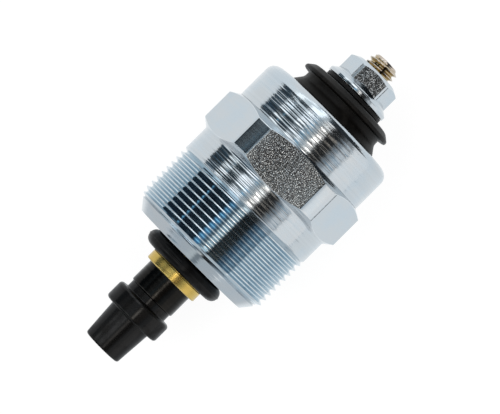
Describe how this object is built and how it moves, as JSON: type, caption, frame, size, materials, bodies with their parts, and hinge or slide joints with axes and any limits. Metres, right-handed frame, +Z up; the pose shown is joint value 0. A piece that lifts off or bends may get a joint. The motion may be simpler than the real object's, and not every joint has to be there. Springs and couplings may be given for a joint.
{
  "type": "injection pump stop solenoid valve",
  "caption": "Screw-in electric stop valve for a diesel injection pump: threaded hexagon housing, rubber cap, terminal stud with flange nut, sealing ring and spring-loaded plunger.",
  "frame": {"origin": "under the middle of the valve's length, on the surface that it lies on", "axes": "+X along the valve's axis towards the terminal stud, -X towards the valve tip, +Z up from the hexagon flat that it lies on"},
  "size_m": [0.0584, 0.0264, 0.024],
  "materials": {
    "zinc_plated_steel": "bright zinc plating over turned steel",
    "nickel_plated_steel": "bright, slightly warm plating",
    "blackened_steel": "oil-blackened, satin",
    "soft_magnet_steel": "turned",
    "spring_steel": "drawn wire",
    "brass": "turned brass",
    "copper_wire": "enamelled",
    "copper_strip": "stamped",
    "shim_bronze": "rolled",
    "black_rubber": "moulded, matt",
    "seal_rubber": "moulded, slight sheen",
    "valve_rubber": "moulded, oily sheen",
    "black_laminate": "matt",
    "bobbin_nylon": "moulded",
    "wrap_film": "polyester film",
    "base_resin": "moulded"
  },
  "bodies": {
    "valve_body": {"housing": "zinc_plated_steel", "guide_tube": "brass", "nose_seal": "seal_rubber", "pole_core": "soft_magnet_steel", "core_seal": "seal_rubber", "core_shim": "shim_bronze", "flux_plate": "soft_magnet_steel", "coil_bobbin": "bobbin_nylon", "coil_winding": "copper_wire", "coil_wrap": "wrap_film", "live_lead": "copper_wire", "ground_lead": "copper_wire", "insulating_disc": "black_laminate", "terminal_base": "base_resin", "cover_seal": "seal_rubber", "contact_lug": "copper_strip", "terminal_stud": "nickel_plated_steel", "rubber_cap": "black_rubber", "insulating_washer": "black_laminate", "flange_nut": "zinc_plated_steel", "return_spring": "spring_steel"},
    "plunger": {"armature": "blackened_steel", "valve_tip": "valve_rubber"}
  },
  "joints": [
    {"name": "plunger_slide", "type": "slide", "parent": "valve_body", "child": "plunger", "axis": [1, 0, 0], "range_m": [0, 0.003], "stiffness_N_per_m": 600, "springref_m": -0.004, "deforming": ["return_spring"]}
  ]
}
